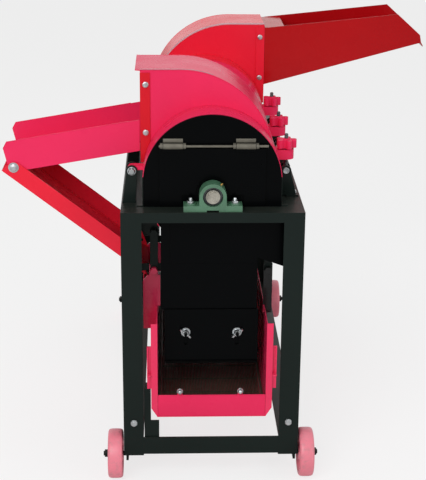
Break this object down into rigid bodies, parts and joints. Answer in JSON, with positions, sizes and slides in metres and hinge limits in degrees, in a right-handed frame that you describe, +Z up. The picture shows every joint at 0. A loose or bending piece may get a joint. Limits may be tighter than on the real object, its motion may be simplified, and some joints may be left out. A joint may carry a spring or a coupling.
{
  "type": "threshing machine",
  "caption": "Maize threshing machine on a wheeled angle iron stand: feed tray, toothed drum under hooded covers, outlet chute, shaken sieve box and fan.",
  "frame": {"origin": "on the floor under the middle of the machine's outer box", "axes": "+X across the stand towards the outlet chute's side, +Y along the drum towards its pulley, +Z up"},
  "size_m": [1.1482, 1.2295, 1.06],
  "materials": {
    "stand_paint": "semi-gloss brushed paint",
    "black_sheet": "gloss paint",
    "red_paint": "gloss paint",
    "dark_red_paint": "gloss paint",
    "zinc_steel": "zinc plated",
    "turned_steel": "turned",
    "drum_iron": "worn paint",
    "dusty_steel": "dusty paint",
    "green_iron": "painted casting",
    "brass": "machined",
    "pulley_iron": "turned casting",
    "belt_rubber": "matt",
    "screen_steel": "dusty",
    "wheel_rubber": "moulded"
  },
  "bodies": {
    "stand": {"left_side_frame": "stand_paint", "right_side_frame": "stand_paint", "cross_rails": "stand_paint", "frame_fasteners": "zinc_steel", "wheel_brackets": "stand_paint", "guide_post": "stand_paint", "near_end_plate": "black_sheet", "far_end_plate": "black_sheet", "chamber_side_walls": "stand_paint", "flap_hinge_rod": "dusty_steel", "drum_bearings": "green_iron", "grease_nipples": "brass", "concave_grate": "drum_iron", "hopper_sides": "black_sheet", "lower_end_panel": "black_sheet", "fan_housing": "stand_paint", "lower_bearings": "green_iron", "hanger_brackets": "stand_paint", "cover_hinge_brackets": "stand_paint", "latch_brackets": "stand_paint", "latch_trunnions": "zinc_steel", "chute_pivots": "stand_paint", "fan_belt": "belt_rubber", "crank_belt": "belt_rubber", "rear_cover": "red_paint", "outlet_hood": "red_paint", "outlet_chute": "dark_red_paint", "outlet_fasteners": "zinc_steel"},
    "drum": {"drum_shaft": "turned_steel", "drum_rotor": "drum_iron", "drum_teeth": "drum_iron", "drum_pulley": "pulley_iron"},
    "fan": {"fan_rotor": "turned_steel", "fan_pulley": "pulley_iron"},
    "crank": {"crank_shaft": "turned_steel", "crank_pulley": "pulley_iron"},
    "sieve": {"sieve_box": "red_paint", "sieve_screen": "screen_steel", "sieve_end_gate": "red_paint", "pitman_rod": "stand_paint"},
    "near_left_hanger": {"hanger_near_left": "stand_paint"},
    "near_right_hanger": {"hanger_near_right": "stand_paint"},
    "far_left_hanger": {"hanger_far_left": "stand_paint"},
    "far_right_hanger": {"hanger_far_right": "stand_paint"},
    "flap": {"end_flap": "black_sheet"},
    "air_shutter": {"air_plate": "stand_paint"},
    "left_wing_nut": {"wing_nut_left": "zinc_steel"},
    "right_wing_nut": {"wing_nut_right": "zinc_steel"},
    "cover": {"front_cover": "red_paint", "inlet_hood": "red_paint", "inlet_tray": "red_paint", "cover_fasteners": "zinc_steel"},
    "near_knob": {"star_knob_near": "red_paint"},
    "middle_knob": {"star_knob_middle": "red_paint"},
    "far_knob": {"star_knob_far": "red_paint"},
    "lower_chute": {"return_chute": "red_paint"},
    "near_left_wheel": {"wheel_near_left": "wheel_rubber"},
    "near_right_wheel": {"wheel_near_right": "wheel_rubber"},
    "far_left_wheel": {"wheel_far_left": "wheel_rubber"},
    "far_right_wheel": {"wheel_far_right": "wheel_rubber"}
  },
  "joints": [
    {"name": "drum_spin", "type": "hinge", "parent": "stand", "child": "drum", "pos_m": [-0.06236, 0, 0.7505], "axis": [0, 1, 0], "continuous": true},
    {"name": "fan_spin", "type": "hinge", "parent": "stand", "child": "fan", "pos_m": [-0.06236, 0.42275, 0.44], "axis": [0, 1, 0], "continuous": true},
    {"name": "crank_spin", "type": "hinge", "parent": "stand", "child": "crank", "pos_m": [0.04764, 0.49775, 0.1563], "axis": [0, 1, 0], "continuous": true},
    {"name": "sieve_shake", "type": "slide", "parent": "stand", "child": "sieve", "axis": [1, 0, 0], "range_m": [-0.006, 0.006]},
    {"name": "near_left_hanger_swing", "type": "hinge", "parent": "stand", "child": "near_left_hanger", "pos_m": [-0.20436, -0.47125, 0.632], "axis": [0, 1, 0], "range_deg": [-3.5, 3.5]},
    {"name": "near_right_hanger_swing", "type": "hinge", "parent": "stand", "child": "near_right_hanger", "pos_m": [0.07964, -0.47125, 0.632], "axis": [0, 1, 0], "range_deg": [-3.5, 3.5]},
    {"name": "far_left_hanger_swing", "type": "hinge", "parent": "stand", "child": "far_left_hanger", "pos_m": [-0.20436, 0.28475, 0.632], "axis": [0, 1, 0], "range_deg": [-3.5, 3.5]},
    {"name": "far_right_hanger_swing", "type": "hinge", "parent": "stand", "child": "far_right_hanger", "pos_m": [0.07964, 0.28475, 0.632], "axis": [0, 1, 0], "range_deg": [-3.5, 3.5]},
    {"name": "cover_swing", "type": "hinge", "parent": "stand", "child": "cover", "pos_m": [-0.25636, -0.19725, 0.794], "axis": [0, -1, 0], "range_deg": [0, 60]},
    {"name": "lower_chute_swing", "type": "hinge", "parent": "stand", "child": "lower_chute", "pos_m": [-0.24065, -0.34225, 0.531], "axis": [0, -1, 0], "range_deg": [0, 60]},
    {"name": "flap_swing", "type": "hinge", "parent": "stand", "child": "flap", "pos_m": [-0.06236, -0.53585, 0.866], "axis": [-1, 0, 0], "range_deg": [0, 100]},
    {"name": "air_shutter_slide", "type": "slide", "parent": "stand", "child": "air_shutter", "axis": [0, 0, 1], "range_m": [0, 0.03]},
    {"name": "left_wing_nut_turn", "type": "hinge", "parent": "stand", "child": "left_wing_nut", "pos_m": [-0.12636, -0.53725, 0.387], "axis": [0, 1, 0], "continuous": true},
    {"name": "right_wing_nut_turn", "type": "hinge", "parent": "stand", "child": "right_wing_nut", "pos_m": [0.00164, -0.53725, 0.387], "axis": [0, 1, 0], "continuous": true},
    {"name": "near_knob_turn", "type": "hinge", "parent": "cover", "child": "near_knob", "pos_m": [0.12114, -0.42685, 0.846], "axis": [0, 0, 1], "continuous": true},
    {"name": "middle_knob_turn", "type": "hinge", "parent": "cover", "child": "middle_knob", "pos_m": [0.12114, -0.19685, 0.846], "axis": [0, 0, 1], "continuous": true},
    {"name": "far_knob_turn", "type": "hinge", "parent": "cover", "child": "far_knob", "pos_m": [0.12114, 0.03335, 0.846], "axis": [0, 0, 1], "continuous": true},
    {"name": "near_left_wheel_roll", "type": "hinge", "parent": "stand", "child": "near_left_wheel", "pos_m": [-0.30436, -0.55225, 0.0625], "axis": [1, 0, 0], "continuous": true},
    {"name": "near_right_wheel_roll", "type": "hinge", "parent": "stand", "child": "near_right_wheel", "pos_m": [0.17964, -0.55225, 0.0625], "axis": [1, 0, 0], "continuous": true},
    {"name": "far_left_wheel_roll", "type": "hinge", "parent": "stand", "child": "far_left_wheel", "pos_m": [-0.30436, 0.49775, 0.0625], "axis": [1, 0, 0], "continuous": true},
    {"name": "far_right_wheel_roll", "type": "hinge", "parent": "stand", "child": "far_right_wheel", "pos_m": [0.17964, 0.49775, 0.0625], "axis": [1, 0, 0], "continuous": true}
  ],
  "couplings": [
    {"joint": "fan_spin", "follows": "drum_spin", "ratio": 2},
    {"joint": "crank_spin", "follows": "drum_spin", "ratio": 0.66667},
    {"joint": "lower_chute_swing", "follows": "cover_swing", "ratio": 1},
    {"joint": "near_left_hanger_swing", "follows": "sieve_shake", "rad_per_m": -10},
    {"joint": "near_right_hanger_swing", "follows": "sieve_shake", "rad_per_m": -10},
    {"joint": "far_left_hanger_swing", "follows": "sieve_shake", "rad_per_m": -10},
    {"joint": "far_right_hanger_swing", "follows": "sieve_shake", "rad_per_m": -10}
  ]
}
